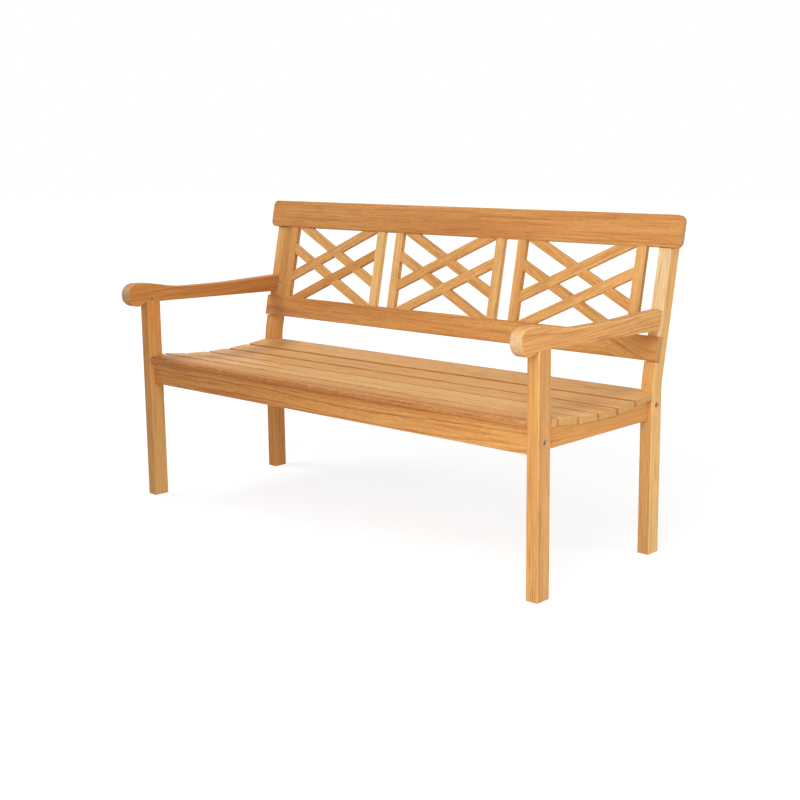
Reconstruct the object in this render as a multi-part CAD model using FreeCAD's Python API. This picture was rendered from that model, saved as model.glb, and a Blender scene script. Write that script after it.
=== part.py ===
import FreeCAD
import Part
import math
import os

# Teak garden bench with a lattice back, in millimetres.
# x runs along the bench, y from front to back, z up. The pieces are placed with y = 0
# at the front face of the front legs, and moved to the middle of the bench when written.

V = FreeCAD.Vector
LEFT = -1
RIGHT = 1
TINY = 1e-6

# Frame
LEG_SPREAD = 1500.0
LEG_REACH = 468.0
LEG_WIDTH = 35.0
LEG_DEPTH = 45.0
LEG_ARRIS = 2.5
FOOT_ARRIS = 1.5
BEND_HEIGHT = 448.0
BEND_RADIUS = 150.0
RAKE = 11.6

# Arms
ARM_HEIGHT = 588.0
ARM_WAIST = 37.5
ARM_WAIST_FROM_LEG = 155.0
ARM_RISE_FROM_LEG = 290.0
ARM_RISE_RADIUS = 2000.0
ARM_REAR_ABOVE = 47.5
ARM_REAR_BELOW = 5.0
ARM_ARRIS = 3.0
NECK_RADIUS = 15.0
SCROLL_RADIUS = 34.0
SCROLL_AHEAD = 30.0
SCROLL_DROP = 11.0

# Back rails, measured along the lean of the back
RAIL_THICKNESS = 18.0
RAIL_PROUD = 5.5
RAIL_ARRIS = 2.0
RAIL_SWELL_ROOM = 1.2
LOWER_RAIL_LIFT = 59.0
LOWER_RAIL_HEIGHT = 64.0
LOWER_RAIL_OVERHANG = 4.0
LOWER_RAIL_CORNER = 3.0
LATTICE_HEIGHT = 226.0
CREST_HEIGHT = 84.0
CREST_OVERHANG = 30.0
CREST_CORNER = 18.0
POST_BELOW_CREST = 12.0

# Lattice panels
PANEL_COUNT = 3
PANEL_GAP = 48.0
PANEL_LEG_GAP = 35.0
STILE_WIDTH = 30.0
STILE_THICKNESS = 15.0
BAR_WIDTH = 28.0
BAR_THICKNESS = 12.0
BAR_END_RISE = 54.0
LATTICE_ARRIS = 1.5

# Seat
SLAT_COUNT = 6
SLAT_THICKNESS = 17.0
SLAT_GAP = 12.0
SLAT_ARRIS = 2.0
SLAT_END_ARRIS = 1.2
SEAT_HEIGHT = 424.0
NOSE_SETBACK = 1.0
NOSE_TOP_RADIUS = 8.0
NOSE_BOTTOM_RADIUS = 5.0
REAR_SLAT_TUCK = 22.0
NOTCH_CLEARANCE = 1.0
DISH_DEPTH = 13.0
DISH_LOW = 264.0
SEAT_RAIL_THICKNESS = 22.0
SEAT_RAIL_ARRIS = 2.0
APRON_SETBACK = 13.0
APRON_HEIGHT = 64.0
SIDE_RAIL_INSET = 12.0
SIDE_RAIL_HEIGHT = 53.0
REAR_RAIL_HEIGHT = 40.0

# Joints and fasteners
FIT = 0.15
ARM_TENON_WIDTH = 15.0
LEG_TENON_DEPTH = 25.0
LEG_TENON_HEIGHT = 24.0
ARM_TENON_HEIGHT = 26.0
ARM_TENON_LENGTH = 18.0
ARM_TENON_ABOVE = 10.0
RAIL_TENON_WIDTH = 10.0
RAIL_TENON_LENGTH = 15.0
RAIL_TENON_SHOULDER = 8.0
BEARER_TENON_LENGTH = 8.0
STILE_TENON_WIDTH = 20.0
STILE_TENON_THICKNESS = 7.0
STILE_TENON_LENGTH = 10.0
PEG_RADIUS = 3.0
PEG_LENGTH = 26.0
PEG_ABOVE_LEG = 8.0
PEG_BEHIND_LEG_FACE = 17.0
PEG_BEHIND_POST_FACE = 7.0
BOLT_RADIUS = 4.0
BOLT_LENGTH = 75.0
BOLT_HEAD_RADIUS = 6.5
BOLT_HEAD_HEIGHT = 5.0
BOLT_HEAD_ARRIS = 0.8
BOLT_SOCKET_RADIUS = 3.4
BOLT_SOCKET_DEPTH = 3.0
BOLT_RECESS_RADIUS = 8.0
BOLT_RECESS_DEPTH = 9.0
BOLT_TIP_ROOM = 4.0
WASHER_RADIUS = 7.5
WASHER_THICKNESS = 1.6
NUT_RADIUS = 7.0
NUT_LENGTH = 16.0
NUT_FROM_RAIL_END = 35.0
DOWEL_RADIUS = 4.0
DOWEL_IN_LEG = 12.0
DOWEL_IN_RAIL = 18.0
DOWEL_FROM_EDGE = 9.0
LATTICE_DOWEL_RADIUS = 2.5
LATTICE_DOWEL_LENGTH = 16.0
SCREW_RADIUS = 2.2
SCREW_HEAD_RADIUS = 4.0
SCREW_HEAD_HEIGHT = 3.0
SCREW_SOCKET_RADIUS = 1.8
SCREW_SOCKET_DEPTH = 1.6
SCREW_RECESS_RADIUS = 5.0
SLAT_SCREW_LENGTH = 42.0
SLAT_SCREW_BITE = 11.0
BACK_SCREW_BITE = 12.0
BACK_SCREW_SPACING = 34.0
PLUG_LENGTH = 6.0

# Values that follow from the sizes above
HALF = LEG_SPREAD / 2
LEG_INNER = HALF - LEG_WIDTH
LEG_MIDDLE = HALF - LEG_WIDTH / 2
LEAN = math.radians(RAKE)
RAIL_FRONT = -RAIL_PROUD
RAIL_BACK = RAIL_THICKNESS - RAIL_PROUD
RAIL_MIDDLE = (RAIL_FRONT + RAIL_BACK) / 2
LATTICE_BOTTOM = LOWER_RAIL_LIFT + LOWER_RAIL_HEIGHT
LATTICE_TOP = LATTICE_BOTTOM + LATTICE_HEIGHT
CREST_TOP = LATTICE_TOP + CREST_HEIGHT
POST_TOP = CREST_TOP - POST_BELOW_CREST
PANEL_WIDTH = (2 * LEG_INNER - 2 * PANEL_LEG_GAP - (PANEL_COUNT - 1) * PANEL_GAP) / PANEL_COUNT
SLAT_WIDTH = (LEG_REACH - NOSE_SETBACK - (SLAT_COUNT - 1) * SLAT_GAP) / SLAT_COUNT
SLAT_PITCH = SLAT_WIDTH + SLAT_GAP
SLAT_UNDERSIDE = SEAT_HEIGHT - SLAT_THICKNESS
LAST_SLAT = SLAT_COUNT - 1
DISH_HALF = DISH_LOW - NOSE_SETBACK - SLAT_PITCH
DISH_RADIUS = (DISH_HALF ** 2 + DISH_DEPTH ** 2) / (2 * DISH_DEPTH)
APRON_BACK = APRON_SETBACK + SEAT_RAIL_THICKNESS
APRON_BOTTOM = SLAT_UNDERSIDE - APRON_HEIGHT
SIDE_RAIL_BOTTOM = SLAT_UNDERSIDE - SIDE_RAIL_HEIGHT
SIDE_RAIL_MIDDLE = HALF - SIDE_RAIL_INSET - SEAT_RAIL_THICKNESS / 2
REAR_RAIL_FRONT = LEG_REACH + (LEG_DEPTH - SEAT_RAIL_THICKNESS) / 2
REAR_RAIL_BACK = REAR_RAIL_FRONT + SEAT_RAIL_THICKNESS
SCROLL_TOP = ARM_HEIGHT - SCROLL_DROP + 2 * SCROLL_RADIUS
BENCH_FRONT = -SCROLL_AHEAD - SCROLL_RADIUS
BENCH_BACK = LEG_REACH + POST_TOP * math.sin(LEAN) + LEG_DEPTH * math.cos(LEAN)
BENCH_MIDDLE = (BENCH_FRONT + BENCH_BACK) / 2


# Shape helpers

def box(x0, x1, y0, y1, z0, z1):
    return Part.makeBox(x1 - x0, y1 - y0, z1 - z0, V(x0, y0, z0))


def rod(start, direction, radius, length):
    return Part.makeCylinder(radius, length, start, direction)


def hexagon_rod(start, direction, radius, length):
    """Six-sided rod, for the key sockets in the screw and bolt heads."""
    turn = FreeCAD.Rotation(V(0, 0, 1), direction)
    corners = [start + turn * V(radius * math.cos(a), radius * math.sin(a), 0)
               for a in (math.radians(60 * i) for i in range(7))]
    return Part.Face(Part.makePolygon(corners)).extrude(direction * length)


def round_corner(before, here, after, radius):
    """Start, crown and end of the arc that rounds the corner at here."""
    if radius == 0:
        return here, None, here
    back = (before - here).normalize()
    onward = (after - here).normalize()
    half = back.getAngle(onward) / 2
    reach = radius / math.tan(half)
    inward = (back + onward).normalize()
    return here + back * reach, here + inward * (radius / math.sin(half) - radius), here + onward * reach


def rounded_wire(points, place):
    """Closed outline through (u, v, corner radius) points; place turns u and v into a vector."""
    spots = [place(u, v) for u, v, radius in points]
    corners = [round_corner(spots[i - 1], spots[i], spots[(i + 1) % len(spots)], points[i][2])
               for i in range(len(spots))]
    edges = []
    for i, (start, crown, end) in enumerate(corners):
        following = corners[(i + 1) % len(corners)][0]
        if crown:
            edges.append(Part.Arc(start, crown, end).toShape())
        if end.distanceToPoint(following) > TINY:
            edges.append(Part.makeLine(end, following))
    return Part.Wire(edges)


def board(points, place, thickness):
    """Solid with a rounded outline, given its thickness along a vector."""
    return Part.Face(rounded_wire(points, place)).extrude(thickness)


def rectangle(u0, u1, v0, v1, radius):
    return [(u0, v0, radius), (u1, v0, radius), (u1, v1, radius), (u0, v1, radius)]


def ease(shape, radius, chosen):
    """Rounds every edge that the test accepts."""
    return shape.makeFillet(radius, [edge for edge in shape.Edges if chosen(edge)])


def stations(edge):
    first, last = edge.ParameterRange
    return [edge.valueAt(first + (last - first) * share) for share in (0, 0.5, 1)]


def square_to_x(edge):
    spots = [p.x for p in stations(edge)]
    return max(spots) - min(spots) < TINY


def square_to_y(edge):
    spots = [p.y for p in stations(edge)]
    return max(spots) - min(spots) < TINY


def on_floor(edge):
    return max(p.z for p in stations(edge)) < TINY


def leaned(shape):
    """Moves a piece from the upright frame of the back onto the leaning fronts of the rear legs."""
    shape = shape.copy()
    shape.rotate(V(0, 0, 0), V(1, 0, 0), -RAKE)
    shape.translate(V(0, LEG_REACH, BEND_HEIGHT))
    return shape


def post_face(z):
    """Distance from the front of the bench to the leaning face of the rear legs at a height."""
    return LEG_REACH + (z - BEND_HEIGHT) * math.tan(LEAN)


def mirrored(shape, side):
    if side == RIGHT:
        return shape
    return shape.mirror(V(0, 0, 0), V(1, 0, 0))


def both_sides(shapes):
    return [mirrored(shape, side) for side in (LEFT, RIGHT) for shape in shapes]


def minus(shape, cutters):
    return shape.cut(Part.Compound(cutters)) if cutters else shape


# Seat line

def slat_place(k):
    """Middle of slat k's top, as y and z, and its tilt. The front slat, 0, lies level."""
    y = NOSE_SETBACK + k * SLAT_PITCH + SLAT_WIDTH / 2
    if k == 0:
        return y, SEAT_HEIGHT, 0.0
    tilt = math.asin((y - DISH_LOW) / DISH_RADIUS)
    return y, SEAT_HEIGHT - DISH_DEPTH + DISH_RADIUS * (1 - math.cos(tilt)), tilt


def slat_reach(k):
    """How far slat k runs in front of and behind its middle."""
    return SLAT_WIDTH / 2, SLAT_WIDTH / 2 + (REAR_SLAT_TUCK if k == LAST_SLAT else 0)


def underside(k, y):
    """Height of slat k's underside at y."""
    middle, top, tilt = slat_place(k)
    return top - SLAT_THICKNESS / math.cos(tilt) + (y - middle) * math.tan(tilt)


def seat_line(start, end):
    """Points of the line that the slats lie on, a flat for each slat, from start to end."""
    points = []
    for k in range(SLAT_COUNT):
        middle, top, tilt = slat_place(k)
        front, rear = slat_reach(k)
        drop = SLAT_THICKNESS * math.sin(tilt)
        first = max(start, middle - front * math.cos(tilt) + drop)
        last = min(end, middle + rear * math.cos(tilt) + drop)
        points += [(first, underside(k, first), 0), (last, underside(k, last), 0)]
    return points


def bearing_rail(x_middle, start, end, tenon_length):
    """Rail from front to back under the slats, with a stub tenon at each end."""
    x0 = x_middle - SEAT_RAIL_THICKNESS / 2
    line = seat_line(start, end)
    outline = [(start, SIDE_RAIL_BOTTOM, 0)] + line + [(end, SIDE_RAIL_BOTTOM, 0)]
    rail = board(outline, lambda y, z: V(x0, y, z), V(SEAT_RAIL_THICKNESS, 0, 0))
    rail = ease(rail, SEAT_RAIL_ARRIS, lambda edge: square_to_x(edge) and
                max(p.z for p in stations(edge)) < SIDE_RAIL_BOTTOM + TINY)
    tongue = rail_tongue(x_middle, start - tenon_length, end + tenon_length, line, 0)
    return rail.fuse(tongue).removeSplitter()


def rail_tongue(x_middle, start, end, line, clearance):
    """The tenons at both ends of a bearing rail as one strip, or the room for them."""
    low = SIDE_RAIL_BOTTOM + RAIL_TENON_SHOULDER - clearance
    high = min(z for y, z, r in line) - RAIL_TENON_SHOULDER + clearance
    half = RAIL_TENON_WIDTH / 2 + clearance
    return box(x_middle - half, x_middle + half, start - clearance, end + clearance, low, high)


def side_tongue(clearance):
    line = seat_line(LEG_DEPTH, LEG_REACH)
    return rail_tongue(SIDE_RAIL_MIDDLE, LEG_DEPTH - RAIL_TENON_LENGTH,
                       LEG_REACH + RAIL_TENON_LENGTH, line, clearance)


def bearer_tongue(clearance):
    line = seat_line(APRON_BACK, REAR_RAIL_FRONT)
    return rail_tongue(0, APRON_BACK - BEARER_TENON_LENGTH,
                       REAR_RAIL_FRONT + BEARER_TENON_LENGTH, line, clearance)


# Bolted corners, right-hand side

def bolt_lines():
    """y and z of the front and the rear bolt, each with its rail's bottom, top and open side."""
    front = (APRON_SETBACK + APRON_BACK) / 2
    rear = (REAR_RAIL_FRONT + REAR_RAIL_BACK) / 2
    rear_top = underside(LAST_SLAT, rear)
    rear_bottom = rear_rail_bottom()
    return [(front, (APRON_BOTTOM + SLAT_UNDERSIDE) / 2, APRON_BOTTOM, SLAT_UNDERSIDE, APRON_BACK),
            (rear, (rear_bottom + rear_top) / 2, rear_bottom, rear_top, REAR_RAIL_FRONT)]


def rear_rail_bottom():
    return underside(LAST_SLAT, REAR_RAIL_FRONT) - REAR_RAIL_HEIGHT


BOLT_SEAT = HALF - BOLT_RECESS_DEPTH + WASHER_THICKNESS
NUT_X = LEG_INNER - NUT_FROM_RAIL_END


def frame_bolt(y, z):
    shank = rod(V(BOLT_SEAT, y, z), V(-1, 0, 0), BOLT_RADIUS, BOLT_LENGTH)
    head = rod(V(BOLT_SEAT, y, z), V(1, 0, 0), BOLT_HEAD_RADIUS, BOLT_HEAD_HEIGHT)
    top = BOLT_SEAT + BOLT_HEAD_HEIGHT
    head = ease(head, BOLT_HEAD_ARRIS, lambda edge: min(p.x for p in stations(edge)) > top - TINY)
    socket = hexagon_rod(V(top, y, z), V(-1, 0, 0), BOLT_SOCKET_RADIUS, BOLT_SOCKET_DEPTH)
    return head.fuse(shank).removeSplitter().cut(socket)


def bolt_washer(y, z):
    start = V(BOLT_SEAT - WASHER_THICKNESS, y, z)
    disc = rod(start, V(1, 0, 0), WASHER_RADIUS, WASHER_THICKNESS)
    return disc.cut(rod(start, V(1, 0, 0), BOLT_RADIUS + FIT, WASHER_THICKNESS))


def barrel_nut(y, z):
    nut = rod(V(NUT_X, y - NUT_LENGTH / 2, z), V(0, 1, 0), NUT_RADIUS, NUT_LENGTH)
    return nut.cut(rod(V(NUT_X - NUT_RADIUS, y, z), V(1, 0, 0), BOLT_RADIUS + FIT, 2 * NUT_RADIUS))


def bolt_room(y, z):
    """Hole through the leg and into the rail for a bolt, with the recess for its head."""
    tip = BOLT_SEAT - BOLT_LENGTH - BOLT_TIP_ROOM
    hole = rod(V(tip, y, z), V(1, 0, 0), BOLT_RADIUS + FIT, HALF - tip)
    recess = rod(V(HALF - BOLT_RECESS_DEPTH, y, z), V(1, 0, 0), BOLT_RECESS_RADIUS, BOLT_RECESS_DEPTH)
    return hole.fuse(recess)


def nut_room(y, z, open_side):
    """Hole for a barrel nut from the hidden side of its rail."""
    far = y - math.copysign(NUT_LENGTH / 2 + FIT, open_side - y)
    low, high = min(far, open_side), max(far, open_side)
    return rod(V(NUT_X, low, z), V(0, 1, 0), NUT_RADIUS + FIT, high - low)


def rail_dowels_at(y, bottom, top, radius):
    """The two dowels of a bolted joint, or their holes."""
    heights = (bottom + DOWEL_FROM_EDGE, top - DOWEL_FROM_EDGE)
    length = DOWEL_IN_LEG + DOWEL_IN_RAIL
    return [rod(V(LEG_INNER - DOWEL_IN_RAIL, y, z), V(1, 0, 0), radius, length) for z in heights]


def corner_cuts(corner):
    """Everything that a bolted corner takes out of its leg and rail."""
    y, z, bottom, top, open_side = corner
    return [bolt_room(y, z), nut_room(y, z, open_side)] + rail_dowels_at(y, bottom, top, DOWEL_RADIUS + FIT)


# Arm joints, right-hand side

def leg_tenon(clearance):
    half = ARM_TENON_WIDTH / 2 + clearance
    y = LEG_DEPTH / 2
    reach = LEG_TENON_DEPTH / 2 + clearance
    return box(LEG_MIDDLE - half, LEG_MIDDLE + half, y - reach, y + reach,
               ARM_HEIGHT, ARM_HEIGHT + LEG_TENON_HEIGHT + clearance)


def arm_tenon(clearance):
    """Tenon from the arm's rear end into the rear leg."""
    half = ARM_TENON_WIDTH / 2 + clearance
    low = ARM_HEIGHT + ARM_TENON_ABOVE
    face = post_face(low + ARM_TENON_HEIGHT / 2)
    return box(LEG_MIDDLE - half, LEG_MIDDLE + half, face - ARM_TENON_LENGTH, face + ARM_TENON_LENGTH,
               low - clearance, low + ARM_TENON_HEIGHT + clearance)


def arm_pegs(radius):
    """Pegs driven from the inner faces through the two tenons of an arm."""
    rear_z = ARM_HEIGHT + ARM_TENON_ABOVE + ARM_TENON_HEIGHT / 2
    spots = [(PEG_BEHIND_LEG_FACE, ARM_HEIGHT + PEG_ABOVE_LEG),
             (post_face(rear_z) + PEG_BEHIND_POST_FACE, rear_z)]
    return [rod(V(LEG_INNER, y, z), V(1, 0, 0), radius, PEG_LENGTH) for y, z in spots]


# Screws

def screw(tip, direction, length):
    """Screw with its point at tip; direction is the way it is driven."""
    seat = tip - direction * length
    shank = rod(seat, direction, SCREW_RADIUS, length)
    head = rod(seat, -direction, SCREW_HEAD_RADIUS, SCREW_HEAD_HEIGHT)
    top = seat - direction * SCREW_HEAD_HEIGHT
    socket = hexagon_rod(top, direction, SCREW_SOCKET_RADIUS, SCREW_SOCKET_DEPTH)
    return shank.fuse(head).removeSplitter().cut(socket)


def screw_room(tip, direction, length, recess):
    """Hole for a screw, with a recess of the given depth that reaches the surface."""
    seat = tip - direction * length
    hole = rod(seat, direction, SCREW_RADIUS + FIT, length)
    return hole.fuse(rod(seat, -direction, SCREW_RECESS_RADIUS, recess))


def slat_screw_spots(k):
    """Points of slat k's screws, one on each side rail and one on the middle bearer."""
    y = slat_place(k)[0]
    if k == 0:
        y = (LEG_DEPTH + NOTCH_CLEARANCE + NOSE_SETBACK + SLAT_WIDTH) / 2
    z = underside(k, y) + SLAT_SCREW_BITE
    return [V(x, y, z) for x in (-SIDE_RAIL_MIDDLE, 0, SIDE_RAIL_MIDDLE)]


def slat_screw_rooms(k):
    return [screw_room(tip, V(0, 0, 1), SLAT_SCREW_LENGTH, tip.z - SLAT_SCREW_LENGTH - SIDE_RAIL_BOTTOM)
            for tip in slat_screw_spots(k)]


def all_slat_screw_rooms():
    return [room for k in range(SLAT_COUNT) for room in slat_screw_rooms(k)]


BACK_SCREW_SEAT = LEG_DEPTH - PLUG_LENGTH - SCREW_HEAD_HEIGHT
BACK_SCREW_TIP = RAIL_BACK - BACK_SCREW_BITE
BACK_SCREW_LENGTH = BACK_SCREW_SEAT - BACK_SCREW_TIP


def back_screw_spots():
    """Points of the screws through the rear legs into the two back rails, in the upright frame."""
    lower = LOWER_RAIL_LIFT + LOWER_RAIL_HEIGHT / 2
    crest = (LATTICE_TOP + POST_TOP) / 2
    heights = [middle + step for middle in (lower, crest)
               for step in (-BACK_SCREW_SPACING / 2, BACK_SCREW_SPACING / 2)]
    return [V(side * LEG_MIDDLE, BACK_SCREW_TIP, z) for side in (LEFT, RIGHT) for z in heights]


def back_screw_rooms():
    recess = LEG_DEPTH - BACK_SCREW_SEAT
    return [leaned(screw_room(tip, V(0, -1, 0), BACK_SCREW_LENGTH, recess)) for tip in back_screw_spots()]


# Legs

def leg_section():
    return rectangle(LEG_INNER, HALF, 0, LEG_DEPTH, LEG_ARRIS)


def front_leg(side):
    leg = board(leg_section(), lambda x, y: V(x, y, 0), V(0, 0, ARM_HEIGHT))
    leg = ease(leg, FOOT_ARRIS, on_floor)
    leg = leg.fuse(leg_tenon(0)).removeSplitter()
    cuts = corner_cuts(bolt_lines()[0]) + [side_tongue(FIT)] + arm_pegs(PEG_RADIUS + FIT)[:1]
    return mirrored(minus(leg, cuts), side)


def rear_leg(side):
    top_front = leaned(Part.Vertex(0, 0, POST_TOP)).Point
    top_back = leaned(Part.Vertex(0, LEG_DEPTH, POST_TOP)).Point
    rear_bend = BEND_HEIGHT - LEG_DEPTH * math.tan(LEAN / 2)
    outline = [(LEG_REACH, 0, 0), (LEG_REACH, BEND_HEIGHT, BEND_RADIUS + LEG_DEPTH),
               (top_front.y, top_front.z, 0), (top_back.y, top_back.z, 0),
               (LEG_REACH + LEG_DEPTH, rear_bend, BEND_RADIUS), (LEG_REACH + LEG_DEPTH, 0, 0)]
    leg = board(outline, lambda y, z: V(LEG_INNER, y, z), V(LEG_WIDTH, 0, 0))
    leg = ease(leg, LEG_ARRIS, lambda edge: square_to_x(edge) and not on_floor(edge))
    leg = ease(leg, FOOT_ARRIS, on_floor)
    laps = [leaned(box(0, LEG_SPREAD, -LEG_DEPTH, RAIL_BACK, low - RAIL_SWELL_ROOM, high))
            for low, high in ((LOWER_RAIL_LIFT, LATTICE_BOTTOM), (LATTICE_TOP, CREST_TOP))]
    cuts = laps + corner_cuts(bolt_lines()[1]) + [side_tongue(FIT), arm_tenon(FIT)]
    cuts += arm_pegs(PEG_RADIUS + FIT)[1:] + back_screw_rooms()
    return mirrored(minus(leg, cuts), side)


# Arms

def level_arc(start, end):
    """Arc that leaves start level and meets end, both in a plane square to x."""
    run = end.y - start.y
    rise = end.z - start.z
    radius = (run ** 2 + rise ** 2) / (2 * rise)
    half_turn = math.asin(run / radius) / 2
    middle = start + V(0, math.sin(half_turn), 1 - math.cos(half_turn)) * radius
    return Part.Arc(start, middle, end).toShape()


def armrest(side):
    """Board with a round scroll at the front, a waist behind it and a rise to the rear leg."""
    def at(y, z):
        return V(LEG_INNER, y, z)

    scroll = at(-SCROLL_AHEAD, SCROLL_TOP - SCROLL_RADIUS)
    crown = at(-SCROLL_AHEAD, SCROLL_TOP)
    nose = at(-SCROLL_AHEAD - SCROLL_RADIUS, scroll.z)
    seat_front = at(0, ARM_HEIGHT)
    away = seat_front - scroll
    angle = math.atan2(away.z, away.y) - math.acos(SCROLL_RADIUS / away.Length)
    chin = scroll + V(0, math.cos(angle), math.sin(angle)) * SCROLL_RADIUS
    waist = at(ARM_WAIST_FROM_LEG, ARM_HEIGHT + ARM_WAIST)
    swing = (crown + waist) * 0.5

    # The blank runs on past the face of the rear leg, where it is cut
    climb = at(ARM_RISE_FROM_LEG, waist.z)
    face_top = at(post_face(ARM_HEIGHT + ARM_REAR_ABOVE), ARM_HEIGHT + ARM_REAR_ABOVE)
    rear_top = face_top + (face_top - climb).normalize() * LEG_DEPTH
    rear_low = at(rear_top.y, ARM_HEIGHT - ARM_REAR_BELOW)
    rise = round_corner(waist, climb, rear_top, ARM_RISE_RADIUS)
    neck = round_corner(rear_low, seat_front, chin, NECK_RADIUS)
    outline = [Part.Arc(chin, nose, crown).toShape(), level_arc(crown, swing),
               level_arc(waist, swing), Part.makeLine(waist, rise[0]),
               Part.Arc(*rise).toShape(), Part.makeLine(rise[2], rear_top),
               Part.makeLine(rear_top, rear_low), Part.makeLine(rear_low, neck[0]),
               Part.Arc(*neck).toShape(), Part.makeLine(neck[2], chin)]
    arm = Part.Face(Part.Wire(outline)).extrude(V(LEG_WIDTH, 0, 0))
    arm = ease(arm, ARM_ARRIS, lambda edge: square_to_x(edge) and not square_to_y(edge))
    arm = arm.cut(leaned(box(0, LEG_SPREAD, 0, LEG_REACH, 0, POST_TOP)))
    pad = board(leg_section(), lambda x, y: V(x, y, ARM_HEIGHT), V(0, 0, 2 * ARM_ARRIS))
    leg = board(leg_section(), lambda x, y: V(x, y, 0), V(0, 0, ARM_HEIGHT))
    arm = arm.fuse(pad).fuse(arm_tenon(0)).removeSplitter()
    return mirrored(minus(arm, [leg, leg_tenon(FIT)] + arm_pegs(PEG_RADIUS + FIT)), side)


# Back

def back_rail(half_length, low, high, corner):
    """Board of the back in the upright frame."""
    outline = rectangle(-half_length, half_length, low, high, corner)
    rail = board(outline, lambda x, z: V(x, RAIL_FRONT, z), V(0, RAIL_THICKNESS, 0))
    return ease(rail, RAIL_ARRIS, square_to_y)


def crest_rail():
    rail = back_rail(HALF + CREST_OVERHANG, LATTICE_TOP, CREST_TOP, CREST_CORNER)
    return minus(leaned(minus(rail, stile_tenons(FIT) + lattice_dowels(FIT))), back_screw_rooms())


def lower_back_rail():
    rail = back_rail(HALF + LOWER_RAIL_OVERHANG, LOWER_RAIL_LIFT, LATTICE_BOTTOM, LOWER_RAIL_CORNER)
    return minus(leaned(minus(rail, stile_tenons(FIT) + lattice_dowels(FIT))), back_screw_rooms())


def panel_left(number):
    return -LEG_INNER + PANEL_LEG_GAP + number * (PANEL_WIDTH + PANEL_GAP)


def stile_left(number, side):
    left = panel_left(number)
    return left if side == LEFT else left + PANEL_WIDTH - STILE_WIDTH


def stile_tenon_pair(number, side, clearance):
    """Both tenons of a stile as one strip."""
    middle = stile_left(number, side) + STILE_WIDTH / 2
    half = STILE_TENON_WIDTH / 2 + clearance
    thick = STILE_TENON_THICKNESS / 2 + clearance
    reach = STILE_TENON_LENGTH + clearance
    return box(middle - half, middle + half, RAIL_MIDDLE - thick, RAIL_MIDDLE + thick,
               LATTICE_BOTTOM - reach, LATTICE_TOP + reach)


def stile_tenons(clearance):
    return [stile_tenon_pair(number, side, clearance)
            for number in range(PANEL_COUNT) for side in (LEFT, RIGHT)]


def stile(number, side):
    left = stile_left(number, side)
    front = RAIL_MIDDLE - STILE_THICKNESS / 2
    section = rectangle(left, left + STILE_WIDTH, front, front + STILE_THICKNESS, LATTICE_ARRIS)
    post = board(section, lambda x, y: V(x, y, LATTICE_BOTTOM), V(0, 0, LATTICE_HEIGHT))
    post = post.fuse(stile_tenon_pair(number, side, 0)).removeSplitter()
    return leaned(minus(post, panel_dowels(number, FIT)))


# Lattice bars: rising bars climb to the right, falling bars to the left. Each has an upper and a
# lower one, whose outer edge starts in a corner of the opening.

RISING = -1
FALLING = 1
UPPER = 1
LOWER = -1
BAR_KINDS = {"rising_bar_upper": (RISING, UPPER), "rising_bar_lower": (RISING, LOWER),
             "falling_bar_upper": (FALLING, UPPER), "falling_bar_lower": (FALLING, LOWER)}
OPENING_WIDTH = PANEL_WIDTH - 2 * STILE_WIDTH
BAR_FALL = LATTICE_HEIGHT - BAR_END_RISE
BAR_ANGLE = math.atan2(BAR_FALL, OPENING_WIDTH)
BAR_FRONT = RAIL_MIDDLE - BAR_THICKNESS / 2
BAR_BACK = RAIL_MIDDLE + BAR_THICKNESS / 2


def bar_blank(number, slope, level, y0, y1, arris):
    """Bar of a panel before its ends are cut, between two depths."""
    section = rectangle(-BAR_WIDTH / 2, BAR_WIDTH / 2, y0, y1, arris)
    bar = board(section, lambda z, y: V(-OPENING_WIDTH, y, z), V(2 * OPENING_WIDTH, 0, 0))
    bar.rotate(V(0, 0, 0), V(0, 1, 0), slope * math.degrees(BAR_ANGLE))
    off_middle = BAR_END_RISE / 2 + BAR_WIDTH / 2 / math.cos(BAR_ANGLE)
    bar.translate(V(panel_left(number) + PANEL_WIDTH / 2, 0,
                    (LATTICE_BOTTOM + LATTICE_TOP) / 2 + level * off_middle))
    return bar


def panel_opening(number):
    left = panel_left(number) + STILE_WIDTH
    return box(left, left + OPENING_WIDTH, RAIL_FRONT, RAIL_BACK, LATTICE_BOTTOM, LATTICE_TOP)


def lattice_bar(number, slope, level):
    """Bar cut to the opening, with half its thickness taken out where the others cross it."""
    bar = bar_blank(number, slope, level, BAR_FRONT, BAR_BACK, LATTICE_ARRIS)
    bar = bar.common(panel_opening(number))
    depths = (RAIL_MIDDLE, BAR_BACK) if slope == RISING else (BAR_FRONT, RAIL_MIDDLE)
    crossings = [bar_blank(number, -slope, other, depths[0], depths[1], 0) for other in (UPPER, LOWER)]
    return leaned(minus(bar, crossings + panel_dowels(number, FIT)))


def bar_end_dowels(number, slope, level, clearance):
    """Dowels of a bar: upright into the rail at one end, level into the stile at the other."""
    radius = LATTICE_DOWEL_RADIUS + clearance
    length = LATTICE_DOWEL_LENGTH + 2 * clearance
    middle = panel_left(number) + PANEL_WIDTH / 2
    rail_z = LATTICE_TOP if level == UPPER else LATTICE_BOTTOM
    rail_x = middle - slope * level * (OPENING_WIDTH / 2 - BAR_WIDTH / 2 / math.sin(BAR_ANGLE))
    stile_x = middle + slope * level * OPENING_WIDTH / 2
    stile_z = rail_z - level * (BAR_FALL - BAR_WIDTH / 2 / math.cos(BAR_ANGLE))
    return [rod(V(rail_x, RAIL_MIDDLE, rail_z - length / 2), V(0, 0, 1), radius, length),
            rod(V(stile_x - length / 2, RAIL_MIDDLE, stile_z), V(1, 0, 0), radius, length)]


def panel_dowels(number, clearance):
    return [dowel for slope, level in BAR_KINDS.values()
            for dowel in bar_end_dowels(number, slope, level, clearance)]


def lattice_dowels(clearance):
    return [dowel for number in range(PANEL_COUNT) for dowel in panel_dowels(number, clearance)]


# Seat

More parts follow.
